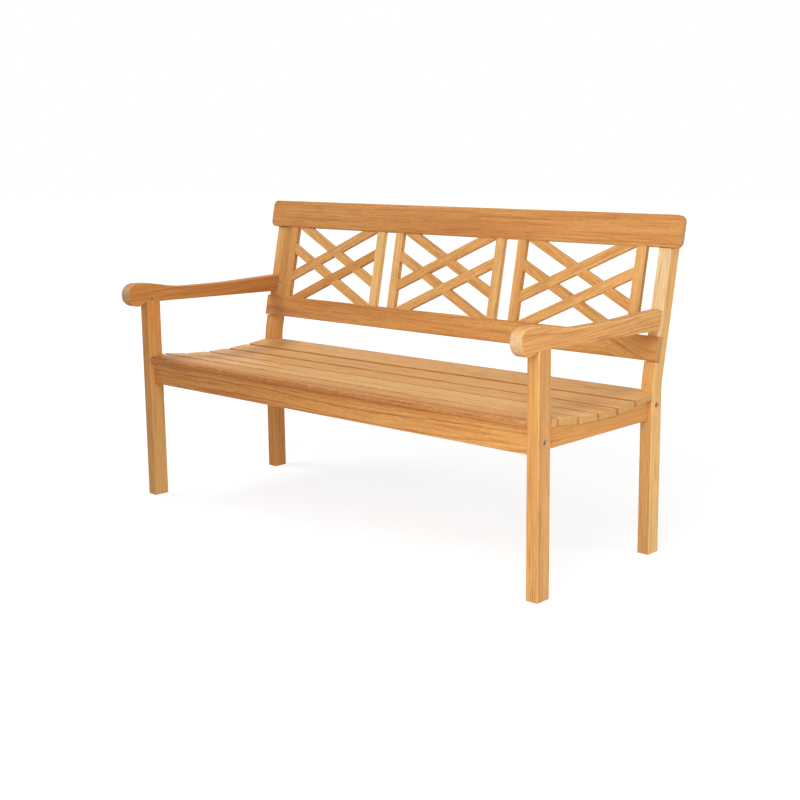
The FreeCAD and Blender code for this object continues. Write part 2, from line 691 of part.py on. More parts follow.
def seat_slat(k):
    """Slat laid to the seat line; the first and last are notched round the legs."""
    middle, top, tilt = slat_place(k)
    front, rear = slat_reach(k)
    nose = (NOSE_BOTTOM_RADIUS, NOSE_TOP_RADIUS) if k == 0 else (SLAT_ARRIS, SLAT_ARRIS)
    section = [(-front, -SLAT_THICKNESS, nose[0]), (rear, -SLAT_THICKNESS, SLAT_ARRIS),
               (rear, 0, SLAT_ARRIS), (-front, 0, nose[1])]
    slat = board(section, lambda y, z: V(-HALF, y, z), V(LEG_SPREAD, 0, 0))
    slat = ease(slat, SLAT_END_ARRIS, square_to_x)
    slat.rotate(V(0, 0, 0), V(1, 0, 0), math.degrees(tilt))
    slat.translate(V(0, middle, top))
    inner = LEG_INNER - NOTCH_CLEARANCE
    cuts = slat_screw_rooms(k)
    if k == 0:
        cuts += both_sides([box(inner, LEG_SPREAD, -LEG_DEPTH, LEG_DEPTH + NOTCH_CLEARANCE, 0, ARM_HEIGHT)])
    if k == LAST_SLAT:
        cuts += both_sides([box(inner, LEG_SPREAD, LEG_REACH - NOTCH_CLEARANCE,
                                LEG_REACH + 2 * LEG_DEPTH, 0, ARM_HEIGHT)])
    return minus(slat, cuts)


def front_apron():
    section = rectangle(APRON_SETBACK, APRON_BACK, APRON_BOTTOM, SLAT_UNDERSIDE, SEAT_RAIL_ARRIS)
    rail = board(section, lambda y, z: V(-LEG_INNER, y, z), V(2 * LEG_INNER, 0, 0))
    return minus(rail, both_sides(corner_cuts(bolt_lines()[0])) + [bearer_tongue(FIT)])


def rear_seat_rail():
    bottom = rear_rail_bottom()
    section = [(REAR_RAIL_FRONT, bottom, SEAT_RAIL_ARRIS), (REAR_RAIL_BACK, bottom, SEAT_RAIL_ARRIS),
               (REAR_RAIL_BACK, underside(LAST_SLAT, REAR_RAIL_BACK), SEAT_RAIL_ARRIS),
               (REAR_RAIL_FRONT, underside(LAST_SLAT, REAR_RAIL_FRONT), 0)]
    rail = board(section, lambda y, z: V(-LEG_INNER, y, z), V(2 * LEG_INNER, 0, 0))
    return minus(rail, both_sides(corner_cuts(bolt_lines()[1])) + [bearer_tongue(FIT)])


def side_rail(side):
    rail = bearing_rail(SIDE_RAIL_MIDDLE, LEG_DEPTH, LEG_REACH, RAIL_TENON_LENGTH)
    return mirrored(minus(rail, all_slat_screw_rooms()), side)


def middle_bearer():
    rail = bearing_rail(0, APRON_BACK, REAR_RAIL_FRONT, BEARER_TENON_LENGTH)
    return minus(rail, all_slat_screw_rooms())


# Fastener groups

def corner_group(make):
    return Part.Compound(both_sides([make(y, z) for y, z, bottom, top, side in bolt_lines()]))


def rail_dowel_group():
    pairs = [rail_dowels_at(y, bottom, top, DOWEL_RADIUS) for y, z, bottom, top, side in bolt_lines()]
    return Part.Compound(both_sides([dowel for pair in pairs for dowel in pair]))


def screw_plug(tip):
    start = V(tip.x, LEG_DEPTH - PLUG_LENGTH, tip.z)
    return leaned(rod(start, V(0, 1, 0), SCREW_RECESS_RADIUS - FIT, PLUG_LENGTH))


def all_pieces():
    pieces = {"crest_rail": crest_rail(), "lower_back_rail": lower_back_rail(),
              "front_apron": front_apron(), "rear_seat_rail": rear_seat_rail(),
              "middle_bearer": middle_bearer()}
    for name, side in (("left", LEFT), ("right", RIGHT)):
        pieces["front_leg_" + name] = front_leg(side)
        pieces["rear_leg_" + name] = rear_leg(side)
        pieces["armrest_" + name] = armrest(side)
        pieces["side_rail_" + name] = side_rail(side)
    for k in range(SLAT_COUNT):
        pieces["seat_slat_%d" % (k + 1)] = seat_slat(k)
    for number in range(PANEL_COUNT):
        panel = "panel_%d_" % (number + 1)
        pieces[panel + "stile_left"] = stile(number, LEFT)
        pieces[panel + "stile_right"] = stile(number, RIGHT)
        for name, (slope, level) in BAR_KINDS.items():
            pieces[panel + name] = lattice_bar(number, slope, level)
    pieces["frame_bolts"] = corner_group(frame_bolt)
    pieces["bolt_washers"] = corner_group(bolt_washer)
    pieces["barrel_nuts"] = corner_group(barrel_nut)
    pieces["rail_dowels"] = rail_dowel_group()
    pieces["arm_pegs"] = Part.Compound(both_sides(arm_pegs(PEG_RADIUS)))
    pieces["lattice_dowels"] = leaned(Part.Compound(lattice_dowels(0)))
    pieces["slat_screws"] = Part.Compound([screw(tip, V(0, 0, 1), SLAT_SCREW_LENGTH)
                                           for k in range(SLAT_COUNT) for tip in slat_screw_spots(k)])
    pieces["back_screws"] = leaned(Part.Compound([screw(tip, V(0, -1, 0), BACK_SCREW_LENGTH)
                                                  for tip in back_screw_spots()]))
    pieces["screw_plugs"] = Part.Compound([screw_plug(tip) for tip in back_screw_spots()])
    return pieces


os.makedirs("parts", exist_ok=True)
for node, shape in all_pieces().items():
    shape.translate(V(0, -BENCH_MIDDLE, 0))
    shape.exportStep("parts/%s.step" % node)
    print("%-28s solids %2d, volume %9.0f, valid %s" % (
        node, len(shape.Solids), shape.Volume, shape.isValid()))
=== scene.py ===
import bpy
import itertools
import math
from mathutils import Matrix, Vector


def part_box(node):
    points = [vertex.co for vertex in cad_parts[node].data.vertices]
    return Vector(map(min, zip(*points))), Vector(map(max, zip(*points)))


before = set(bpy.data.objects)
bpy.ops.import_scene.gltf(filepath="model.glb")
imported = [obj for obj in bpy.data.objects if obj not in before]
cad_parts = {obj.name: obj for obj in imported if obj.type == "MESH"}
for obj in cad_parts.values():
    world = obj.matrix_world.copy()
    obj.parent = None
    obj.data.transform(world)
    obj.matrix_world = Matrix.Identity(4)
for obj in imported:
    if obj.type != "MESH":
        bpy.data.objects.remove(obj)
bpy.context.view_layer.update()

bl_info = {
    "name": "Teak garden bench",
    "version": (1, 0, 0),
    "blender": (4, 5, 0),
    "location": "3D View > Sidebar > Bench",
    "description": "Finishes the teak, pegs and steel of a garden bench and sets its studio",
    "category": "Object",
}

MM = 0.001

# Where the rear legs bend and how far they lean back from there, and how the arms climb to them.
BEND_HEIGHT = 448 * MM
LEAN = math.radians(11.6)
ARM_CLIMB = math.radians(3)

# Ways that the grain of a board can run.
LENGTHWAYS = (1, 0, 0)
FRONT_TO_BACK = (0, 1, 0)
UPRIGHT = (0, 0, 1)
UP_THE_BACK = (0, math.sin(LEAN), math.cos(LEAN))
UP_THE_ARM = (0, math.cos(ARM_CLIMB), math.sin(ARM_CLIMB))

# Values between which most of a noise lies, and those at which it starts to show as a mark and is one.
NOISE_LOW = 0.3
NOISE_HIGH = 0.7
MARK_START = 0.5
MARK_FULL = 0.72

# Rings: how many years a good or bad spell lasts and how many rings it moves the rest by, how fast a ring's
# dark line fades, how rare a strong line is, and how much of a line shows where the pores leave it faint.
SPELL_YEARS = 5
SPELL_REACH = 3.0
LINE_FADE = 5.0
LINE_RARITY = 1.5
LINE_BREAK_FULL = 0.65
LINE_LEAST = 0.45

# Shares of a board's two tones that come from the wandering of the grain and from the years.
WANDER_TONE = 0.7
YEAR_TONE = 0.3

# Length over which a rim sets in along a board.
RIM_RUN = 60 * MM

# How squarely a face has to look a way to start to count as a flank, an end or an arris, and to be one.
FLANK_START = 0.6
FLANK_FULL = 0.9
END_START = 0.45
END_FULL = 0.9
ARRIS_START = 0.35
ARRIS_FULL = 0.65

# End grain: how much it hides the long grain, how much its rings show, and how much rougher it is.
END_COVER = 0.85
END_RINGS = 0.5
END_ROUGHER = 0.25

# How far the fibres take the oil's roughness down and up.
SHEEN_DOWN = 0.05
SHEEN_UP = 0.1

# Shades of the specks on a peg, and shades and roughness of the turning marks on steel, each from one side
# of the noise to the other.
PEG_SPECKS = (0.8, 1.15)
STEEL_SHADES = (0.85, 1.05)
STEEL_ROUGHNESS = (0.55, 0.42)

# Floor: its size, and the glow that makes it white to the camera. The glow is lower under the bench, where
# the lamps add to it, and full from a distance on. The paint under it only takes the shadow.
FLOOR_SIZE = 60
GLOW_LOW = 0.8
GLOW_LOW_REACH = 0.9
GLOW_FULL_REACH = 2.6
SHADOW_PAINT = (0.3, 0.3, 0.3)
WHITE = (1, 1, 1)

# Width of the camera's sensor, in the millimetres that its lens is given in.
SENSOR_WIDTH = 36


def linear(code):
    """Turns an sRGB hex colour into the linear values that shaders use."""
    parts = [int(code[i:i + 2], 16) / 255 for i in (1, 3, 5)]
    return tuple(p / 12.92 if p <= 0.04045 else ((p + 0.055) / 1.055) ** 2.4 for p in parts)


def colour(label, text, code):
    """A colour that a user can change."""
    return bpy.props.FloatVectorProperty(
        name=label, description=text, default=linear(code), size=3, subtype="COLOR", min=0, max=1)


def length(label, text, millimetres):
    """A length that a user can change, written in millimetres."""
    return bpy.props.FloatProperty(
        name=label, description=text, default=millimetres * MM, min=0, unit="LENGTH", precision=4)


def share(label, text, amount):
    """A share of one that a user can change."""
    return bpy.props.FloatProperty(
        name=label, description=text, default=amount, min=0, max=1, subtype="FACTOR")


def power(label, text, watts):
    """A lamp's power that a user can change."""
    return bpy.props.FloatProperty(name=label, description=text, default=watts, min=0, unit="POWER")


def place(label, text, spot):
    """A place that a user can change, written in metres."""
    return bpy.props.FloatVectorProperty(
        name=label, description=text, default=spot, size=3, subtype="TRANSLATION", unit="LENGTH")


def angle(label, text, degrees):
    """An angle that a user can change, written in degrees."""
    return bpy.props.FloatProperty(
        name=label, description=text, default=math.radians(degrees), subtype="ANGLE")


class BenchTimber(bpy.types.PropertyGroup):
    """The teak that the boards were sawn from, and how it was sanded and oiled."""
    cream: colour("Cream", "Palest boards, from beside the sapwood", "#E8BB78")
    straw: colour("Straw", "Pale heartwood", "#DFAC69")
    honey: colour("Honey", "Common heartwood colour", "#D8A05C")
    ginger: colour("Ginger", "Heartwood with a warmer cast", "#DE9A50")
    gold: colour("Gold", "Darker heartwood", "#CD9451")
    amber: colour("Amber", "Deep heartwood", "#C9894A")
    copper: colour("Copper", "Heartwood with a red cast", "#D28C46")
    russet: colour("Russet", "Deepest heartwood, from near the heart", "#BB783D")
    tan: colour("Tan", "Deep heartwood with a greyer cast", "#B67F49")
    # Sapwood, which on the right rear post also stands for a painted sheen.
    sapwood_and_sheen: colour("Sapwood", "Pale outer wood under the bark", "#E2C08E")
    line: colour("Ring line", "Dark line of pores where each year's growth starts", "#8E4F20")
    streak: colour("Streak", "Mineral streaks that run with the grain", "#A86329")
    end_grain: colour("End grain", "Cut ends, sanded pale", "#CAAA80")
    end_dull: colour("Dull end grain", "Cut ends, left as sawn", "#C79B60")
    end_oiled: colour("Oiled end grain", "Cut ends that drank more oil", "#BE9260")
    peg: colour("Peg", "Darker wood of the pegs and plugs", "#7A4A22")
    ring_width: length("Ring width", "Distance between growth rings across the grain", 7)
    pore_width: length("Pore width", "Width of the short dark lines that the pores draw", 2)
    pore_length: length("Pore length", "Length of the short dark lines that the pores draw", 95)
    pore_depth: length("Pore depth", "Depth of the pores in the surface", 0.25)
    streak_width: length("Streak width", "Width of the mineral streaks", 14)
    streak_length: length("Streak length", "Length of the mineral streaks", 600)
    fleck_width: length("Fleck width", "Width of the light and dark flecks", 4)
    fleck_length: length("Fleck length", "Length of the light and dark flecks", 15)
    wander_width: length("Wander width", "Distance across the grain over which the rings wander", 80)
    wander_length: length("Wander length", "Distance along the grain over which the rings wander", 600)
    wander: length("Wander", "How far the rings wander from a true circle", 60)
    peg_grain: length("Peg grain", "Distance between the specks on the pegs", 1.5)
    pores: share("Pores", "How strongly the pores darken the wood", 0.55)
    streaks: share("Streaks", "How strongly the streaks colour the wood", 0.55)
    flecks: share("Flecks", "How much lighter and darker the flecks are", 0.3)
    gloss: share("Roughness", "Roughness of the oiled surface", 0.48)


class BenchSteel(bpy.types.PropertyGroup):
    """The stainless steel of the bolts, nuts and screws."""
    shade: colour("Steel", "Stainless steel after tumbling", "#A8957F")
    scratch: length("Scratch spacing", "Distance between the turning marks", 1.2)


class BenchStudio(bpy.types.PropertyGroup):
    """The studio: floor, lamps and camera."""
    floor: colour("Floor", "Plain pale floor", "#CFCDC9")
    sky: share("Room light", "Light that comes evenly from the white room", 0.31)
    front: power("Front lamp", "Power of the low lamp at the front right", 21)
    front_place: place("Front lamp place", "Where the low lamp at the front right hangs", (1.38, -1.54, 0.8))
    high: power("High lamp", "Power of the lamp above it", 18.5)
    high_place: place("High lamp place", "Where the lamp above it hangs", (1.37, -1.37, 2.19))
    end: power("End lamp", "Power of the lamp beside the right end", 13.2)
    end_place: place("End lamp place", "Where the lamp beside the right end hangs", (2.42, 0.64, 0.8))
    left: power("Left lamp", "Power of the high lamp on the left", 29)
    left_place: place("Left lamp place", "Where the high lamp on the left hangs", (-1.61, -0.43, 2.44))
    lamp_size: length("Lamp size", "Width and height of each lamp", 900)
    aim: place("Lamp aim", "Where all lamps are turned to, in the middle of the bench", (0, 0, 0.45))
    eye: place("Camera place", "Where the camera stands", (2.4092, -2.4121, 1.0049))
    turn: angle("Turn", "Camera turned to the left", 39.07)
    tilt: angle("Tilt", "Camera tilted down", 9.75)
    roll: angle("Roll", "Camera rolled to the right", 0.25)
    lens: bpy.props.FloatProperty(
        name="Lens", description="Focal length", default=55.65, subtype="DISTANCE_CAMERA")
    shift: bpy.props.FloatVectorProperty(
        name="Shift", description="Sideways and upward shift of the lens", size=2,
        default=(-0.1379, -0.0336))


def add(tree, kind, feeds=None, **settings):
    """Adds a node, applies its settings, then links or fills its inputs."""
    made = tree.nodes.new(kind)
    for key, value in settings.items():
        setattr(made, key, value)
    for socket, value in (feeds or {}).items():
        if isinstance(value, bpy.types.NodeSocket):
            tree.links.new(value, made.inputs[socket])
        else:
            made.inputs[socket].default_value = value
    return made


def blank(name):
    """A new material with an empty node tree."""
    material = bpy.data.materials.new(name)
    material.use_nodes = True
    material.node_tree.nodes.clear()
    return material, material.node_tree


def coat(piece, material):
    """Puts a material on every slot of a piece."""
    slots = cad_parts[piece].data.materials
    slots.clear()
    slots.append(material)


def rgba(shade):
    """A colour with full cover."""
    return (*shade, 1.0)


def board_frame(board, grain, heart):
    """Where the heart of the tree lay beside a board, the turn that lays its grain along x, its length."""
    low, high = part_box(board)
    turn = Vector(grain).to_track_quat("X", "Z")
    size = high - low
    along = sum(abs(step * extent) for step, extent in zip(Vector(grain).normalized(), size))
    return (low + high) / 2 + turn @ Vector((0, *heart)) * MM, turn.to_euler(), along


def straighten(tree, at):
    """Sets the leaning part of a rear leg upright, so that its grain follows the bend. It goes by how far
    back the leg would be a metre above its bend."""
    height = add(tree, "ShaderNodeSeparateXYZ", {0: at})
    leaned = add(tree, "ShaderNodeMapRange", {
        "Value": height.outputs[2], "From Min": BEND_HEIGHT, "From Max": BEND_HEIGHT + 1,
        "To Max": -math.tan(LEAN)})
    back = add(tree, "ShaderNodeCombineXYZ", {1: leaned.outputs[0]})
    return add(tree, "ShaderNodeVectorMath", {0: at, 1: back.outputs[0]}, operation="ADD").outputs[0]


def pass_branch(tree, lay, start, end, depth):
    """Lets the grain drop so deep past a branch, between two places along the board, all in mm."""
    passed = add(tree, "ShaderNodeSeparateXYZ", {0: lay})
    drop = add(tree, "ShaderNodeMapRange", {
        "Value": passed.outputs[0], "From Min": start * MM, "From Max": end * MM, "To Max": depth * MM},
        interpolation_type="SMOOTHSTEP")
    lift = add(tree, "ShaderNodeCombineXYZ", {2: drop.outputs[0]})
    return add(tree, "ShaderNodeVectorMath", {0: lay, 1: lift.outputs[0]}, operation="ADD").outputs[0]


def draw_out(tree, laid, along, across, detail, roughness):
    """Uneven marks that are so long with the grain and so wide across it."""
    stretched = add(tree, "ShaderNodeVectorMath", {
        0: laid, 1: (1 / along, 1 / across, 1 / across)}, operation="MULTIPLY")
    return add(tree, "ShaderNodeTexNoise", {
        "Vector": stretched.outputs[0], "Scale": 1.0, "Detail": detail, "Roughness": roughness})


def growth_rings(tree, timber, lay, drift, shift):
    """Rings round the heart, which good and bad years make wide and narrow. Gives the distance from the
    heart, the dark line that opens each ring, and the year's own random colour."""
    across = add(tree, "ShaderNodeVectorMath", {0: lay, 1: (0, 1, 1)}, operation="MULTIPLY")
    radius = add(tree, "ShaderNodeVectorMath", {0: across.outputs[0]}, operation="LENGTH").outputs["Value"]
    wandered = add(tree, "ShaderNodeMath", {0: drift, 1: timber.wander, 2: radius}, operation="MULTIPLY_ADD")
    count = add(tree, "ShaderNodeMath", {0: wandered.outputs[0], 1: timber.ring_width}, operation="DIVIDE")
    weather = add(tree, "ShaderNodeTexNoise", {
        "W": count.outputs[0], "Scale": 1 / SPELL_YEARS, "Detail": 1.0}, noise_dimensions="1D")
    uneven = add(tree, "ShaderNodeMath", {
        0: weather.outputs["Fac"], 1: SPELL_REACH, 2: count.outputs[0]}, operation="MULTIPLY_ADD")
    year = add(tree, "ShaderNodeMath", {0: uneven.outputs[0]}, operation="FLOOR")
    part = add(tree, "ShaderNodeMath", {0: uneven.outputs[0]}, operation="FRACT")
    fade = add(tree, "ShaderNodeMath", {0: 1.0, 1: part.outputs[0]}, operation="SUBTRACT")
    opening = add(tree, "ShaderNodeMath", {0: fade.outputs[0], 1: LINE_FADE}, operation="POWER")
    dated = add(tree, "ShaderNodeMath", {0: year.outputs[0], 1: shift}, operation="ADD")
    whim = add(tree, "ShaderNodeTexWhiteNoise", {"W": dated.outputs[0]}, noise_dimensions="1D")
    strength = add(tree, "ShaderNodeMath", {0: whim.outputs["Value"], 1: LINE_RARITY}, operation="POWER")
    ring = add(tree, "ShaderNodeMath", {0: opening.outputs[0], 1: strength.outputs[0]}, operation="MULTIPLY")
    return radius, ring.outputs[0], whim.outputs["Color"]


def facing(tree, normal, turn):
    """How squarely a face looks along the board's grain, sideways and up, either way."""
    turned = add(tree, "ShaderNodeVectorRotate", {
        "Vector": normal, "Rotation": turn}, rotation_type="EULER_XYZ", invert=True)
    split = add(tree, "ShaderNodeSeparateXYZ", {0: turned.outputs[0]})
    return [add(tree, "ShaderNodeMath", {0: way}, operation="ABSOLUTE").outputs[0] for way in split.outputs]


def rim_cover(tree, radius, down, start, full, past):
    """How much of a rim there is: it starts and is full so far from the heart, and sets in so far along the
    board, all in mm."""
    outer = add(tree, "ShaderNodeMapRange", {
        "Value": radius, "From Min": start * MM, "From Max": full * MM}, interpolation_type="SMOOTHSTEP")
    return add(tree, "ShaderNodeMapRange", {
        "Value": down, "From Min": past * MM, "From Max": past * MM + RIM_RUN, "To Max": outer.outputs[0]},
        interpolation_type="SMOOTHSTEP").outputs[0]


def oiled_teak(board, timber, pale, deep, grain, heart, shift=0.0, figure=1.0, ends=None, fleck=0.15,
               sweep=0.0, rim_wood_and_shade=None, bent=False, arris_wear_and_highlight=0.1, flank_painted_shade=None, swerve=None):
    """Sanded and oiled teak: rings of uneven width that each open with a dark line of pores, short
    dark dashes of single pores, a few russet streaks and flecks, a soft sheen, arrises painted paler for the
    sanding that broke the edge and as a painted highlight of the light they catch, and matt arcs and dots
    where a board is cut across.

    Pale and deep are the board's two tones, grain is the way its grain runs, and heart is how far the
    heart of the tree lay from its middle, in mm. Shift takes it from another part of the tree. Figure and
    fleck are the strength of its lines and flecks, and ends is the shade of its end grain. Sweep makes it
    paler towards one end. A rim is wood of another shade with calmer flecks, beyond a distance from the
    heart and past a place along the board; on some boards it also carries painted shade and sheen. A bent
    board's grain leans back above the bend. Arris says how much paler the edges are painted, for sanding
    wear and as a painted highlight. Flanks are a painted shade on the faces that look sideways, and how
    much of it they take. A swerve is where the grain drops past a branch."""
    material, tree = blank("oiled_teak_" + board)
    middle, turn, along = board_frame(board, grain, heart)
    seen = add(tree, "ShaderNodeTexCoord")
    at = seen.outputs["Object"]
    if bent:
        at = straighten(tree, at)
    lay = add(tree, "ShaderNodeMapping", {
        "Vector": at, "Location": middle, "Rotation": turn}, vector_type="TEXTURE").outputs[0]
    if swerve:
        lay = pass_branch(tree, lay, *swerve)
    laid = add(tree, "ShaderNodeVectorMath", {0: lay, 1: (shift, 0, 0)}, operation="ADD").outputs[0]
    down = add(tree, "ShaderNodeSeparateXYZ", {0: lay}).outputs[0]
    endways, sideways, upwards = facing(tree, seen.outputs["Normal"], turn)

    # Rings wander slowly along the trunk.
    wander = draw_out(tree, laid, timber.wander_length, timber.wander_width, detail=3.0, roughness=0.3)
    drift = add(tree, "ShaderNodeSeparateColor", {0: wander.outputs["Color"]})
    radius, ring, whim = growth_rings(tree, timber, lay, drift.outputs[0], shift)

    # Pores are a third of a millimetre wide, and are drawn coarser to show from a step away.
    fibre = draw_out(tree, laid, timber.pore_length, timber.pore_width, detail=2.0, roughness=0.6)
    pore = add(tree, "ShaderNodeMapRange", {
        "Value": fibre.outputs["Fac"], "From Min": MARK_START, "From Max": MARK_FULL},
        interpolation_type="SMOOTHSTEP")
    dotted = add(tree, "ShaderNodeMath", {0: pore.outputs[0], 1: timber.pores}, operation="MULTIPLY")

    # Streaks of minerals that the tree drew up.
    streak = draw_out(tree, laid, timber.streak_length, timber.streak_width, detail=4.0, roughness=0.6)
    streaked = add(tree, "ShaderNodeMapRange", {
        "Value": streak.outputs["Fac"], "From Min": MARK_START, "From Max": MARK_FULL,
        "To Max": timber.streaks * figure}, interpolation_type="SMOOTHSTEP")

    # Flecks are where the fibres lean in and out of the sawn face.
    mottle = draw_out(tree, laid, timber.fleck_length, timber.fleck_width, detail=3.0, roughness=0.6)
    lustre = add(tree, "ShaderNodeMapRange", {
        "Value": mottle.outputs["Fac"], "From Min": NOISE_LOW, "From Max": NOISE_HIGH,
        "To Min": 1 - timber.flecks * fleck, "To Max": 1 + timber.flecks * fleck})

    # Ground: between the two tones of the board, then the painted shade of its flanks, then its rim.
    years = add(tree, "ShaderNodeSeparateColor", {0: whim})
    leaning = add(tree, "ShaderNodeMapRange", {
        "Value": drift.outputs[1], "From Min": NOISE_LOW, "From Max": NOISE_HIGH, "To Max": WANDER_TONE})
    swept = add(tree, "ShaderNodeMath", {
        0: down, 1: -sweep / along, 2: leaning.outputs[0]}, operation="MULTIPLY_ADD")
    tone = add(tree, "ShaderNodeMath", {
        0: years.outputs[1], 1: YEAR_TONE, 2: swept.outputs[0]}, operation="MULTIPLY_ADD")
    ground = add(tree, "ShaderNodeMix", {0: tone.outputs[0], 6: rgba(pale), 7: rgba(deep)}, data_type="RGBA")
    # Faces that look sideways take a painted shade, for the light that falls less on them.
    if flank_painted_shade:
        shade, amount = flank_painted_shade
        flank_shade_cover = add(tree, "ShaderNodeMapRange", {
            "Value": sideways, "From Min": FLANK_START, "From Max": FLANK_FULL, "To Max": amount},
            interpolation_type="SMOOTHSTEP")
        ground = add(tree, "ShaderNodeMix", {
            0: flank_shade_cover.outputs[0], 6: ground.outputs[2], 7: rgba(shade)}, data_type="RGBA")
    # The rim is other wood, and on some boards painted shade and sheen; it calms the flecks under it.
    if rim_wood_and_shade:
        shade, *reach = rim_wood_and_shade
        cover = rim_cover(tree, radius, down, *reach)
        ground = add(tree, "ShaderNodeMix", {
            0: cover, 6: ground.outputs[2], 7: rgba(shade)}, data_type="RGBA")
        lustre = add(tree, "ShaderNodeMix", {0: cover, 2: lustre.outputs[0], 3: 1.0})

    # Ring lines, streaks, pores and flecks over the ground.
    broken = add(tree, "ShaderNodeMapRange", {
        "Value": fibre.outputs["Fac"], "From Min": NOISE_LOW, "From Max": LINE_BREAK_FULL,
        "To Min": LINE_LEAST * figure, "To Max": figure})
    lined = add(tree, "ShaderNodeMath", {0: ring, 1: broken.outputs[0]}, operation="MULTIPLY")
    ringed = add(tree, "ShaderNodeMix", {
        0: lined.outputs[0], 6: ground.outputs[2], 7: rgba(timber.line)}, data_type="RGBA")
    stained = add(tree, "ShaderNodeMix", {
        0: streaked.outputs[0], 6: ringed.outputs[2], 7: rgba(timber.streak)}, data_type="RGBA")
    pored = add(tree, "ShaderNodeMix", {
        0: dotted.outputs[0], 6: stained.outputs[2], 7: rgba(timber.line)}, data_type="RGBA")
    flecked = add(tree, "ShaderNodeVectorMath", {
        0: pored.outputs[2], "Scale": lustre.outputs[0]}, operation="SCALE")

    # Arrises look half sideways and half up, and are painted paler: a painted highlight, and sanding wear.
    between = add(tree, "ShaderNodeMath", {0: sideways, 1: upwards}, operation="MINIMUM")
    rubbed_and_lit = add(tree, "ShaderNodeMapRange", {
        "Value": between.outputs[0], "From Min": ARRIS_START, "From Max": ARRIS_FULL,
        "To Min": 1.0, "To Max": 1 + arris_wear_and_highlight}, interpolation_type="SMOOTHSTEP")
    eased = add(tree, "ShaderNodeVectorMath", {
        0: flecked.outputs[0], "Scale": rubbed_and_lit.outputs[0]}, operation="SCALE")

    # A face that looks along the grain is end grain, and shows the rings as arcs and the pores as dots.
    cut = add(tree, "ShaderNodeMapRange", {
        "Value": endways, "From Min": END_START, "From Max": END_FULL, "To Max": END_COVER},
        interpolation_type="SMOOTHSTEP")
    arcs = add(tree, "ShaderNodeMath", {
        0: ring, 1: END_RINGS, 2: dotted.outputs[0]}, operation="MULTIPLY_ADD", use_clamp=True)
    sawn = add(tree, "ShaderNodeMix", {
        0: arcs.outputs[0], 6: rgba(ends or pale), 7: rgba(timber.line)}, data_type="RGBA")
    surface = add(tree, "ShaderNodeMix", {
        0: cut.outputs[0], 6: eased.outputs[0], 7: sawn.outputs[2]}, data_type="RGBA")

    # Oil leaves a soft sheen that is uneven with the fibres, and sinks into the cut ends.
    worn = add(tree, "ShaderNodeMapRange", {
        "Value": fibre.outputs["Fac"], "From Min": NOISE_LOW, "From Max": NOISE_HIGH,
        "To Min": timber.gloss - SHEEN_DOWN, "To Max": timber.gloss + SHEEN_UP})
    matt = add(tree, "ShaderNodeMath", {
        0: cut.outputs[0], 1: END_ROUGHER, 2: worn.outputs[0]}, operation="MULTIPLY_ADD")
    relief = add(tree, "ShaderNodeBump", {
        "Strength": 0.3, "Distance": timber.pore_depth, "Height": pore.outputs[0]}, invert=True)
    shader = add(tree, "ShaderNodeBsdfPrincipled", {
        "Base Color": surface.outputs[2], "Roughness": matt.outputs[0], "IOR": 1.45,
        "Specular IOR Level": 0.28, "Normal": relief.outputs[0]})
    add(tree, "ShaderNodeOutputMaterial", {"Surface": shader.outputs[0]})
    coat(board, material)


def dark_peg_wood(piece, timber):
    """Turned hardwood pegs, driven and cut flush: dark, close grained and matt. Specks of such wood are a
    few tenths of a millimetre apart, and are drawn coarser to show."""
    material, tree = blank("turned_hardwood_" + piece)
    seen = add(tree, "ShaderNodeTexCoord")
    speckle = add(tree, "ShaderNodeTexNoise", {
        "Vector": seen.outputs["Object"], "Scale": 1 / timber.peg_grain, "Detail": 2.0})
    shading = add(tree, "ShaderNodeMapRange", {
        "Value": speckle.outputs["Fac"], "From Min": NOISE_LOW, "From Max": NOISE_HIGH,
        "To Min": PEG_SPECKS[0], "To Max": PEG_SPECKS[1]})
    tinted = add(tree, "ShaderNodeVectorMath", {
        0: timber.peg, "Scale": shading.outputs[0]}, operation="SCALE")
    relief = add(tree, "ShaderNodeBump", {
        "Strength": 0.2, "Distance": 0.2 * MM, "Height": speckle.outputs["Fac"]})
    shader = add(tree, "ShaderNodeBsdfPrincipled", {
        "Base Color": tinted.outputs[0], "Roughness": 0.55, "IOR": 1.5, "Normal": relief.outputs[0]})
    add(tree, "ShaderNodeOutputMaterial", {"Surface": shader.outputs[0]})
    coat(piece, material)


def tumbled_steel(piece, steel):
    """Stainless steel bar, turned and tumbled: grey, softly bright, with faint turning marks. Such marks
    are a tenth of a millimetre apart, and are drawn coarser to show."""
    material, tree = blank("tumbled_stainless_steel_" + piece)
    seen = add(tree, "ShaderNodeTexCoord")
    marks = add(tree, "ShaderNodeTexNoise", {
        "Vector": seen.outputs["Object"], "Scale": 1 / steel.scratch, "Detail": 3.0})
    shading = add(tree, "ShaderNodeMapRange", {
        "Value": marks.outputs["Fac"], "From Min": NOISE_LOW, "From Max": NOISE_HIGH,
        "To Min": STEEL_SHADES[0], "To Max": STEEL_SHADES[1]})
    tinted = add(tree, "ShaderNodeVectorMath", {
        0: steel.shade, "Scale": shading.outputs[0]}, operation="SCALE")
    worn = add(tree, "ShaderNodeMapRange", {
        "Value": marks.outputs["Fac"], "From Min": NOISE_LOW, "From Max": NOISE_HIGH,
        "To Min": STEEL_ROUGHNESS[0], "To Max": STEEL_ROUGHNESS[1]})
    shader = add(tree, "ShaderNodeBsdfPrincipled", {
        "Base Color": tinted.outputs[0], "Roughness": worn.outputs[0], "Metallic": 1.0})
    add(tree, "ShaderNodeOutputMaterial", {"Surface": shader.outputs[0]})
    coat(piece, material)


def watched(tree):
    """One where the camera looks, straight, in polished metal or through glass, and else nought."""
    path = add(tree, "ShaderNodeLightPath")
    mirrored = add(tree, "ShaderNodeMath", {
        0: path.outputs["Is Camera Ray"], 1: path.outputs["Is Glossy Ray"]}, operation="MAXIMUM")
    return add(tree, "ShaderNodeMath", {
        0: mirrored.outputs[0], 1: path.outputs["Is Transmission Ray"]}, operation="MAXIMUM").outputs[0]


